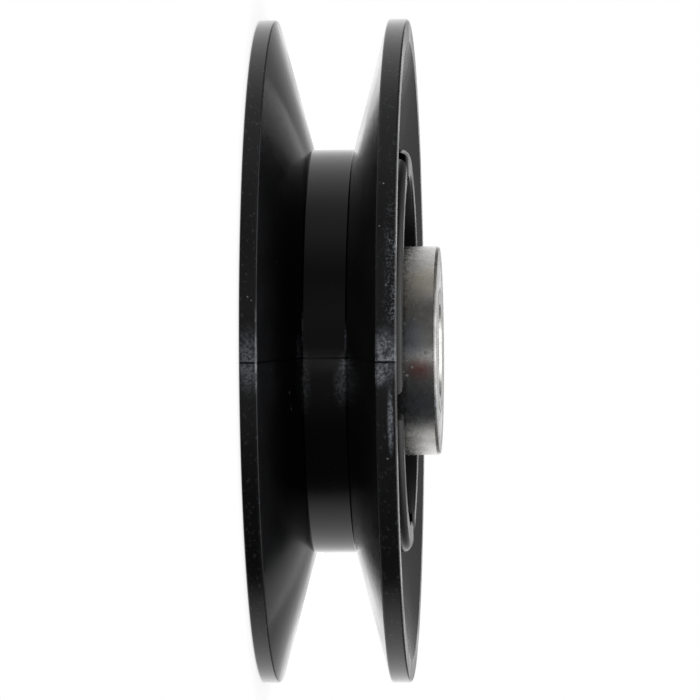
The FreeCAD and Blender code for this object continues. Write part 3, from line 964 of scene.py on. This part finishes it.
@dataclass
class PulleyWheel:
    """The moulded wheel: rims, V groove, dishes, notched core ring, ribs and hub."""

    plastic: bpy.types.Material
    rim_radius: float = 63.5
    width: float = 28.4
    land_width: float = 3.42
    groove_offset: float = 0.2
    floor_radius: float = 38.6
    floor_width: float = 8.1
    rim_inside: float = 59.2
    dish_depth: float = 5.4
    core_inside: float = 33.6
    hub_radius: float = 24.2
    seat_radius: float = 20.0
    hub_recess: float = 3.4
    web_thickness: float = 4.5
    draft: float = 0.5
    seat_bottom: float = 16.5
    shoulder_radius: float = 16.6
    shoulder_low: float = 13.5
    notch_angle: float = 15.9
    notch_count: int = 4
    notch_width: float = 5.0
    notch_depth: float = 4.0
    notch_round: float = 0.8
    rib_count: int = 8
    rib_thickness: float = 2.6
    rib_recess: float = 1.2
    rib_root: float = 1.5
    rib_round: float = 0.35
    edge_round: float = 0.4
    root_round: float = 1.0
    core_round: float = 1.75
    fine_round: float = 0.3
    seat_chamfer: float = 0.8
    parting_angle: float = -88.15
    flash_height: float = 0.05
    flash_place: float = 0.29
    flash_reach: float = 0.12
    seam_depth: float = 0.13
    seam_reach: float = 0.15
    gate_turn: float = -1.45
    gate_radius: float = 1.2
    segments: int = 420

    def section(self) -> list[Point]:
        """Give the wheel's turned section with every corner rounded as moulded.

        Returns:
            The closed outline as (radius, height) in millimetres.
        """
        top, low, high = self.width, self.dish_depth, self.width - self.dish_depth
        middle = self.width / 2 - self.groove_offset
        groove_low = middle - self.floor_width / 2
        groove_high = middle + self.floor_width / 2
        web_low = (self.width - self.web_thickness) / 2
        web_high = (self.width + self.web_thickness) / 2
        hub_top = self.width - self.hub_recess
        return round_section([
            Corner(self.rim_radius, 0.0, self.edge_round),
            Corner(self.rim_radius, self.land_width - self.groove_offset, self.edge_round),
            Corner(self.floor_radius, groove_low, self.fine_round, 4),
            Corner(self.floor_radius, groove_high, self.fine_round, 4),
            Corner(self.rim_radius, top - self.land_width - self.groove_offset, self.edge_round),
            Corner(self.rim_radius, top, self.edge_round),
            Corner(self.rim_inside, top, self.fine_round),
            Corner(self.floor_radius, high, self.root_round),
            Corner(self.floor_radius, top, self.core_round, 8),
            Corner(self.core_inside, top, self.edge_round),
            Corner(self.core_inside - self.draft, web_high, self.root_round),
            Corner(self.hub_radius + self.draft, web_high, self.root_round),
            Corner(self.hub_radius, hub_top, self.edge_round),
            Corner(self.seat_radius + self.seat_chamfer, hub_top, 0.2, 3),
            Corner(self.seat_radius, hub_top - self.seat_chamfer, 0.2, 3),
            Corner(self.seat_radius, self.seat_bottom),
            Corner(self.shoulder_radius, self.seat_bottom, self.fine_round, 3),
            Corner(self.shoulder_radius, self.shoulder_low, self.fine_round, 3),
            Corner(self.seat_radius, self.shoulder_low, self.fine_round, 3),
            Corner(self.seat_radius, self.hub_recess, self.fine_round, 3),
            Corner(self.hub_radius, self.hub_recess, self.edge_round),
            Corner(self.hub_radius + self.draft, web_low, self.root_round),
            Corner(self.core_inside - self.draft, web_low, self.root_round),
            Corner(self.core_inside, 0.0, self.edge_round),
            Corner(self.floor_radius, 0.0, self.core_round, 8),
            Corner(self.floor_radius, low, self.root_round),
            Corner(self.rim_inside, 0.0, self.fine_round),
        ])

    def angles(self) -> list[float]:
        """Give the angles of the section, drawn together at the two parting lines.

        Returns:
            The angles in radians, in rising order.
        """
        close = [-0.42, -0.26, -0.14, -0.06, 0.0, 0.06, 0.14, 0.26, 0.42]
        turns = set()
        for line in (self.parting_angle, self.parting_angle + 180.0):
            turns |= {round(line + step, 3) for step in close}
        pitch = 360.0 / self.segments
        for step in range(self.segments):
            turn = self.parting_angle + step * pitch
            away = min(abs((turn - self.parting_angle + 90.0) % 180.0 - 90.0), 90.0)
            if away > 0.5:
                turns.add(round(turn, 3))
        return [math.radians(turn) for turn in sorted(turns)]

    def parting_relief(self, angle: float, point: Point) -> Point:
        """Give how far the flash and step of the split mould move a point of the groove's side.

        Args:
            angle: The section's angle in radians.
            point: The radius and height in millimetres.

        Returns:
            The shift outwards and upwards in millimetres.
        """
        radius, height = point
        from_middle = height - (self.width / 2 - self.groove_offset)
        outside = radius > self.rim_radius - 0.02
        on_floor = abs(radius - self.floor_radius) < 0.9 and abs(from_middle) < 5.0
        slope = (self.width / 2 - self.land_width - self.floor_width / 2) / (
            self.rim_radius - self.floor_radius)
        wall_height = self.floor_width / 2 + (radius - self.floor_radius) * slope
        on_wall = abs(abs(from_middle) - wall_height) < 0.1
        if not (outside or on_floor or on_wall):
            return 0.0, 0.0
        turn = math.degrees(angle)
        away = (turn - self.parting_angle + 90.0) % 180.0 - 90.0
        arc = math.radians(abs(away)) * radius
        lift = self.flash_height * math.exp(-((arc - self.flash_place) / self.flash_reach) ** 2)
        lift -= self.seam_depth * math.exp(-(arc / self.seam_reach) ** 2)
        if outside and from_middle > 0:
            return lift, 0.0
        floor_share, wall_share, wall_out, wall_up = 0.15, 0.45, 0.25, 0.97
        lift *= floor_share if on_floor else wall_share
        if outside or on_floor:
            return lift, 0.0
        return wall_out * lift, math.copysign(wall_up * lift, -from_middle)

    def make_rib(self) -> bpy.types.Object:
        """Make one rib along +X, with its free edges rounded.

        Returns:
            The rib.
        """
        half = self.rib_thickness / 2
        low = self.hub_recess + self.rib_recess
        outline = round_section([
            Corner(across, up, self.rib_round, 3) for across, up in (
                (-half, low), (half, low), (half, self.width - low), (-half, self.width - low))])
        return extrude_outline("rib", outline, self.hub_radius - self.rib_root,
                               self.core_inside + self.rib_root)

    def make_notch(self) -> bpy.types.Object:
        """Make the cutter of one notch along +X.

        Returns:
            The cutter.
        """
        half, bend = self.notch_width / 2, self.notch_round
        bottom, above = self.width - self.notch_depth, self.width + bend
        steps = 6
        outline: list[Point] = []
        for side in (-1, 1):
            arcs = [((half + bend) * side, self.width - bend, 90, 180 if side > 0 else 0),
                    ((half - bend) * side, bottom + bend, 360 if side > 0 else 180, 270)]
            run: list[Point] = [((half + bend) * side, above)]
            for across, up, start, stop in arcs:
                for step in range(steps + 1):
                    turn = math.radians(start + (stop - start) * step / steps)
                    run.append((across + bend * math.cos(turn), up + bend * math.sin(turn)))
            outline += run if side < 0 else list(reversed(run))
        return extrude_outline("notch", outline, self.core_inside - bend,
                               self.floor_radius + bend)

    def moulding_tree(self) -> bpy.types.GeometryNodeTree:
        """Build the tree that joins the ribs to the turned wheel and cuts the notches.

        Returns:
            The tree.
        """
        tree = Tree("Moulding")
        all_ribs, cutters = [
            tree.ring(tree.shape(name), tree.size(name + " Count", "NodeSocketInt"),
                      tree.size("First " + name, "NodeSocketFloat"))
            for name in ("Rib", "Notch")]
        union = tree.add("GeometryNodeMeshBoolean", operation="UNION", solver="EXACT")
        for shape in (tree.source.outputs["Geometry"], all_ribs):
            tree.feed(union, 1, shape)
        cut = tree.add("GeometryNodeMeshBoolean", {0: union.outputs[0]},
                       operation="DIFFERENCE", solver="EXACT")
        tree.feed(cut, 1, cutters)
        return tree.give(cut.outputs[0], self.plastic)

    def add_gate_mark(self, target: bpy.types.Object) -> None:
        """Add the round witness ring beside the parting line on the upper land.

        Args:
            target: The moulded wheel.
        """
        ring = bmesh.new()
        ring.from_mesh(target.data)
        steps, sides = 40, 8
        made_points = []
        for turn in even_turn(steps):
            thick = 0.03 + 0.05 * max(0.0, math.cos(turn)) ** 1.5
            sunk = 0.05 * (1 - math.cos(turn)) / 2
            for tilt in even_turn(sides):
                out = self.gate_radius + thick * math.cos(tilt)
                lift = self.rim_radius - sunk + thick * math.sin(tilt) * 0.8
                spin = (math.radians(self.parting_angle + self.gate_turn)
                        + out * math.cos(turn) / self.rim_radius)
                height = self.width - self.land_width / 2 + out * math.sin(turn)
                made_points.append(ring.verts.new(about_axis(lift, spin, height)))
        made = [ring.faces.new([made_points[point] for point in face])
                for face in band_faces(steps, sides)]
        bmesh.ops.recalc_face_normals(ring, faces=made)
        ring.to_mesh(target.data)
        ring.free()

    def make(self) -> bpy.types.Object:
        """Mould the wheel and stand it in for its CAD node.

        Returns:
            The finished wheel.
        """
        turned = turn_section("turned_wheel", self.section(), self.angles(), self.parting_relief)
        rib, notch = self.make_rib(), self.make_notch()
        first_rib = math.radians(self.notch_angle + 180.0 / self.rib_count)
        run_tree(turned, self.moulding_tree(), {
            "Rib": rib, "Rib Count": self.rib_count, "First Rib": first_rib,
            "Notch": notch, "Notch Count": self.notch_count,
            "First Notch": math.radians(self.notch_angle)})
        wheel = bake(turned, "wheel_moulding")
        for spare in (rib, notch):
            bpy.data.objects.remove(spare)
        self.add_gate_mark(wheel)
        smooth(wheel)
        wheel = bake(wheel, "wheel_moulding")
        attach(wheel, "wheel")
        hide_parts("pulley_wheel")
        LOG.info("%s: %d faces", wheel.name, len(wheel.data.polygons))
        return wheel


class End(Enum):
    """An end of the bearing."""

    UPPER = "upper"
    LOWER = "lower"


@dataclass
class TurnedPart:
    """A ring or washer turned from one section."""

    name: str
    node: str
    body: str
    slot: str
    material: bpy.types.Material
    corners: list[Corner] = field(default_factory=list)
    segments: int = 256
    crease: float = 32.0

    def make(self) -> bpy.types.Object:
        """Turn the part and stand it in for its CAD node.

        Returns:
            The finished part.
        """
        made = turn_section(self.name, round_section(self.corners), even_turn(self.segments))
        made.data.materials.append(self.material)
        smooth(made, self.crease)
        made = bake(made, self.name)
        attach(made, self.body)
        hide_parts(self.node)
        LOG.info("%s: %d faces", made.name, len(made.data.polygons))
        return made


@dataclass
class Bearing:
    """The sealed double-row ball bearing that stands proud of the wheel."""

    steel: bpy.types.Material
    ball_steel: bpy.types.Material
    nylon: bpy.types.Material
    rubber: bpy.types.Material
    bore: float = 8.5
    outside: float = 20.0
    bottom: float = 16.5
    top: float = 34.0
    pitch: float = 14.25
    ball: float = 3.1752
    row_offset: float = 3.3499
    land_offset: float = 2.0502
    race: float = 3.3022
    clearance: float = 0.05
    seal_fit: float = 0.02
    seat_depth: float = 1.15
    flange: float = 0.55
    mouth_step: float = 1.05
    groove_step: float = 1.45
    lip_step: float = 0.6
    lip_width: float = 1.5
    lip_gap: float = 0.06
    lip_reach: float = 1.0
    insert_step: float = 0.9
    insert_inset: float = 0.45
    insert_thickness: float = 0.4
    bore_chamfer: float = 0.6
    chamfer_across: float = 0.27
    chamfer_up: float = 0.55

    @property
    def middle(self) -> float:
        """The height between the two rows."""
        return (self.top + self.bottom) / 2

    @property
    def outer_land(self) -> float:
        """The radius of the outer ring's lands."""
        return self.pitch + self.land_offset

    @property
    def inner_land(self) -> float:
        """The radius of the inner ring's lands."""
        return self.pitch - self.land_offset

    @property
    def lip_seat(self) -> float:
        """The radius that the seals' lips run on."""
        return self.inner_land - self.lip_step

    @property
    def insert_edges(self) -> Point:
        """The inner and outer radius of the seal inserts."""
        return (self.lip_seat + self.lip_reach + self.insert_inset,
                self.outer_land + self.groove_step - self.insert_step)

    def race_arc(self, centre: float, row: float, land: float, inner: bool) -> list[Corner]:
        """Give the points of one raceway between its two land edges, from low to high.

        Args:
            centre: The radius of the race's centre in millimetres.
            row: The row's height in millimetres.
            land: The radius of the land beside the race.
            inner: Whether the race is in the inner ring.

        Returns:
            The raceway's points in rising order.
        """
        reach = math.acos(abs(land - centre) / self.race)
        side = -1.0 if inner else 1.0
        points = []
        steps = 14
        for step in range(steps + 1):
            turn = reach * (2 * step / steps - 1)
            points.append(Corner(centre + side * self.race * math.cos(turn),
                                 row + self.race * math.sin(turn)))
        return points

    def outer_ring(self) -> TurnedPart:
        """Describe the outer ring with its raceways and seal seats.

        Returns:
            The ring's description.
        """
        land = self.outer_land
        mouth, groove = land + self.mouth_step, land + self.groove_step
        centre = self.pitch + self.ball + self.clearance - self.race
        race = self.race_arc(centre, self.middle + self.row_offset, land, False)
        corners = mirrored([
            Corner(self.outside, self.top - self.chamfer_up, 0.3, 4),
            Corner(self.outside - self.chamfer_across, self.top, 0.12, 3),
            Corner(mouth, self.top, 0.12, 3),
            Corner(mouth, self.top - self.flange),
            Corner(groove, self.top - self.flange),
            Corner(groove, self.top - self.seat_depth),
            Corner(land, self.top - self.seat_depth),
            *reversed(race),
        ], self.middle)
        return TurnedPart("bearing_outer_ring", "outer_ring", "wheel", "ring_steel",
                          self.steel, corners)

    def inner_ring(self) -> TurnedPart:
        """Describe the inner ring with its raceways, lip steps and chamfered bore.

        Returns:
            The ring's description.
        """
        land, step = self.inner_land, self.lip_seat
        centre = self.pitch - self.ball - self.clearance + self.race
        corners = mirrored([
            *self.race_arc(centre, self.middle + self.row_offset, land, True),
            Corner(land, self.top - self.lip_width, 0.05, 2),
            Corner(step, self.top - self.lip_width),
            Corner(step, self.top, 0.12, 3),
            Corner(self.bore + self.bore_chamfer, self.top, 0.1, 3),
            Corner(self.bore, self.top - self.bore_chamfer, 0.1, 3),
        ], self.middle)
        return TurnedPart("bearing_inner_ring", "inner_ring", "inner_race", "ring_steel",
                          self.steel, corners)

    def seal(self, end: End) -> TurnedPart:
        """Describe the lip seal of one end: bead, dished face with two ridges, and lip.

        Args:
            end: The end that it closes.

        Returns:
            The seal's description.
        """
        mouth = self.outer_land + self.mouth_step - self.seal_fit
        groove = self.outer_land + self.groove_step - self.seal_fit
        lip, root = self.lip_seat + self.lip_gap, self.lip_seat + self.lip_reach
        inside, outside = self.insert_edges
        bead, dish, face = 0.58, 1.11, 1.14
        shape = [
            Corner(groove, 0.0, 0.08, 2), Corner(groove, bead, 0.08, 2),
            Corner(mouth, bead), Corner(mouth, face, 0.04, 2),
            Corner(mouth - 0.7, face, 0.3, 4), Corner(mouth - 1.3, dish, 0.3, 4),
            Corner(root + 1.5, dish, 0.3, 4), Corner(root + 0.9, face, 0.3, 4),
            Corner(root - 0.2, face, 0.1, 3), Corner(lip, 1.05, 0.05, 3),
            Corner(lip, 0.5, 0.06, 3), Corner(root, 0.35), Corner(root, 0.0),
            Corner(inside, 0.0), Corner(inside, self.insert_thickness),
            Corner(outside, self.insert_thickness), Corner(outside, 0.0),
        ]
        return self._seated("seal", "seal_rubber", self.rubber, shape, end)

    def insert(self, end: End) -> TurnedPart:
        """Describe the steel washer pressed into the inner side of one end's seal.

        Args:
            end: The end that it belongs to.

        Returns:
            The washer's description.
        """
        inside, outside = self.insert_edges
        shape = [Corner(across, up, 0.05, 2) for across, up in (
            (outside, 0.0), (outside, self.insert_thickness),
            (inside, self.insert_thickness), (inside, 0.0))]
        return self._seated("seal_insert", "insert_steel", self.steel, shape, end)

    def _seated(self, kind: str, slot: str, material: bpy.types.Material,
                shape: Sequence[Corner], end: End) -> TurnedPart:
        """Stand a section on its seat at one end of the bearing.

        Args:
            kind: The start of the CAD node's name.
            slot: The record's material slot.
            material: What the part is made of.
            shape: Its section, with height counted outwards from the seat.
            end: The end that it belongs to.

        Returns:
            The seated turned part.
        """
        if end is End.UPPER:
            seat, outwards, order = self.top - self.seat_depth, 1.0, list(shape)
        else:
            seat, outwards, order = self.bottom + self.seat_depth, -1.0, list(reversed(shape))
        corners = [Corner(corner.across, seat + outwards * corner.up, corner.bend, corner.steps)
                   for corner in order]
        name = "%s_%s" % (kind, end.value)
        return TurnedPart("bearing_" + name, name, "wheel", slot, material, corners)

    def dress_rolling_set(self) -> None:
        """Give the balls and cages, whose CAD shape stays, their finishes."""
        for node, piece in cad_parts.items():
            if node.startswith("ball_"):
                finish = self.ball_steel
            elif node.startswith("cage_"):
                finish = self.nylon
            else:
                continue
            piece.data.materials.clear()
            piece.data.materials.append(finish)
            LOG.info("%s dressed in %s", node, finish.name)

    def make(self) -> None:
        """Build the bearing's turned parts and dress its balls and cages."""
        self.outer_ring().make()
        self.inner_ring().make()
        for end in End:
            self.seal(end).make()
            self.insert(end).make()
        self.dress_rolling_set()


@dataclass
class Dust:
    """Dust specks that lie on the wheel."""

    material: bpy.types.Material
    density: float = 5200.0
    seed: int = 11
    size: float = 0.055

    def make(self, wheel: bpy.types.Object) -> bpy.types.Object:
        """Scatter the specks over the wheel.

        Args:
            wheel: The finished wheel.

        Returns:
            The specks as one object.
        """
        tree = Tree("Specks")
        surface = tree.shape("On")
        density = tree.size("Density", "NodeSocketFloat")
        seed = tree.size("Seed", "NodeSocketInt")
        size = tree.size("Size", "NodeSocketFloat")
        points = tree.add("GeometryNodeDistributePointsOnFaces",
                          {"Mesh": surface, "Density": density, "Seed": seed})
        speck = tree.add("GeometryNodeMeshIcoSphere", {"Radius": size, "Subdivisions": 1})
        vary = tree.add("FunctionNodeRandomValue", {"Min": (0.25, 0.25, 0.25),
                                                    "Max": (1.3, 0.8, 0.6), "Seed": seed},
                        data_type="FLOAT_VECTOR")
        copies = tree.add("GeometryNodeInstanceOnPoints", {
            "Points": points.outputs["Points"], "Instance": speck.outputs["Mesh"],
            "Rotation": points.outputs["Rotation"], "Scale": vary.outputs[0]})
        holder = object_from("speck_holder", [], [])
        run_tree(holder, tree.give(copies.outputs[0], self.material), {
            "On": wheel, "Density": self.density, "Seed": self.seed, "Size": self.size * MM})
        specks = bake(holder, "dust_specks")
        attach(specks, "wheel")
        LOG.info("%s: %d faces", specks.name, len(specks.data.polygons))
        return specks


# Studio


@dataclass
class Studio:
    """White table, soft room light and the camera at the photograph's place."""

    camera_place: Place = (-0.0002, -1.083, 0.0759)
    aim: Place = (-0.0002, 0.0, 0.0167)
    lens: float = 290.8
    roll: float = -0.32
    table_radius: float = 200.0
    table_height: float = -0.1
    table_sides: int = 96
    table_grey: float = 0.45
    table_glow: float = 0.74
    lamp_turn: float = 6.0
    lamp_away: float = 1.3
    lamp_height: float = 0.06
    lamp_aim: Place = (0.0, 0.0, 0.02)
    lamp_size: float = 0.3
    lamp_power: float = 0.12
    ceiling: float = 1.9
    ceiling_start: float = 0.68
    ceiling_stop: float = 0.92
    walls: tuple[Point, ...] = (
        (-180.0, 1.35), (-165.0, 1.35), (-150.0, 1.15), (-130.0, 1.05), (-116.0, 0.95),
        (-104.0, 0.8), (-93.0, 0.58), (-83.0, 0.5), (-70.0, 0.44), (-58.0, 0.28), (-45.0, 0.17),
        (-22.0, 0.26), (0.0, 0.2), (22.0, 0.22), (34.0, 0.11), (48.0, 0.06), (75.0, 0.05),
        (86.0, 0.08), (94.0, 0.5), (103.0, 0.85), (116.0, 1.0), (150.0, 1.15), (165.0, 1.35),
        (180.0, 1.35))
    heights: tuple[Point, ...] = (
        (0.0, 1.0), (0.07, 1.0), (0.12, 0.5), (0.154, 0.33), (0.235, 0.2), (0.3, 0.1),
        (0.35, 0.18), (0.4, 0.1), (0.46, 0.1), (0.55, 0.25), (0.68, 0.35))

    def set_camera(self) -> None:
        """Stand the camera where the photograph was taken from."""
        data = bpy.data.cameras.new("camera")
        data.lens = self.lens
        data.sensor_width = 36.0
        data.clip_end = 50.0
        camera = add_object("camera", data)
        ahead = (Vector(self.aim) - Vector(self.camera_place)).normalized()
        up = Vector((-1.0, 0.0, 0.0))
        right = ahead.cross(up).normalized()
        basis = Matrix((right, up, -ahead)).transposed()
        spin = Matrix.Rotation(math.radians(self.roll), 3, "Z")
        camera.matrix_world = Matrix.Translation(self.camera_place) @ (basis @ spin).to_4x4()
        bpy.context.scene.camera = camera

    def set_room(self) -> None:
        """Light the scene with a soft room: pale behind and above, dim towards the camera."""
        world = bpy.data.worlds.new("room")
        bpy.context.scene.world = world
        world.use_nodes = True
        bench = NodeBench(world.node_tree)
        way = bench.add("ShaderNodeTexCoord").outputs["Generated"]
        parts = bench.add("ShaderNodeSeparateXYZ", {0: way}).outputs
        turn = bench.math("ARCTAN2", parts["X"], bench.product(parts["Y"], -1.0))
        share = bench.math("MULTIPLY_ADD", turn, 0.5 / math.pi, 0.5)
        about = bench.levels(share, [((angle + 180.0) / 360.0, level)
                                     for angle, level in self.walls])
        low = bench.product(about, bench.levels(parts["Z"], self.heights))
        rise = bench.add("ShaderNodeMapRange", {
            "Value": parts["Z"], "From Min": self.ceiling_start,
            "From Max": self.ceiling_stop}).outputs[0]
        level = bench.add("ShaderNodeMix", {0: rise, 2: low, 3: self.ceiling}).outputs[0]
        room = bench.add("ShaderNodeBackground", {"Color": grey(1.0), "Strength": level})
        white = bench.add("ShaderNodeBackground", {"Color": grey(1.0), "Strength": 1.0})
        seen = bench.add("ShaderNodeLightPath").outputs
        straight = bench.greatest(seen["Is Camera Ray"], seen["Is Transmission Ray"])
        choice = bench.add("ShaderNodeMixShader", {0: straight, 1: room.outputs[0],
                                                   2: white.outputs[0]})
        bench.add("ShaderNodeOutputWorld", {0: choice.outputs[0]})

    def set_table(self) -> None:
        """Lay the round white table that the pulley lies on."""
        rim = [about_axis(self.table_radius, turn, self.table_height)
               for turn in even_turn(self.table_sides)]
        table = object_from("table", rim, [tuple(range(self.table_sides))])
        bench = Bench("white_table")
        seen = bench.add("ShaderNodeLightPath").outputs["Is Camera Ray"]
        passed = bench.add("ShaderNodeBsdfTransparent")
        shown = bench.add("ShaderNodeBsdfDiffuse", {"Color": grey(self.table_grey)})
        white = bench.add("ShaderNodeEmission", {"Color": grey(1.0),
                                                 "Strength": self.table_glow})
        lit = bench.add("ShaderNodeAddShader", {0: shown.outputs[0], 1: white.outputs[0]})
        mixed = bench.add("ShaderNodeMixShader", {0: seen, 1: passed.outputs[0],
                                                  2: lit.outputs[0]})
        bench.add("ShaderNodeOutputMaterial", {"Surface": mixed.outputs[0]})
        table.data.materials.append(bench.material)

    def set_lamp(self) -> None:
        """Hang the soft lamp beside the camera."""
        data = bpy.data.lights.new("soft_lamp", "AREA")
        data.shape = "DISK"
        data.size = self.lamp_size
        data.energy = self.lamp_power
        lamp = add_object("soft_lamp", data)
        turn = math.radians(self.lamp_turn)
        place = Vector((self.lamp_away * math.sin(turn), -self.lamp_away * math.cos(turn),
                        self.lamp_height))
        toward = (Vector(self.lamp_aim) - place).normalized()
        lamp.matrix_world = Matrix.Translation(place) @ toward.to_track_quat(
            "-Z", "Y").to_matrix().to_4x4()

    def make(self) -> None:
        """Set up camera, room, table and lamp."""
        self.set_camera()
        self.set_room()
        self.set_table()
        self.set_lamp()
        bpy.context.scene.view_settings.view_transform = "Standard"


def main() -> None:
    """Build the pulley and its studio."""
    logging.basicConfig(level=logging.INFO, format="%(name)s: %(message)s")
    Studio().make()
    wheel = PulleyWheel(MouldedPlastic().make()).make()
    steel = GroundSteel().make()
    Bearing(steel, PolishedSteel().make(), CageNylon().make(), SealRubber().make()).make()
    Dust(DustMote().make()).make(wheel)


if __name__ == "__main__":
    main()
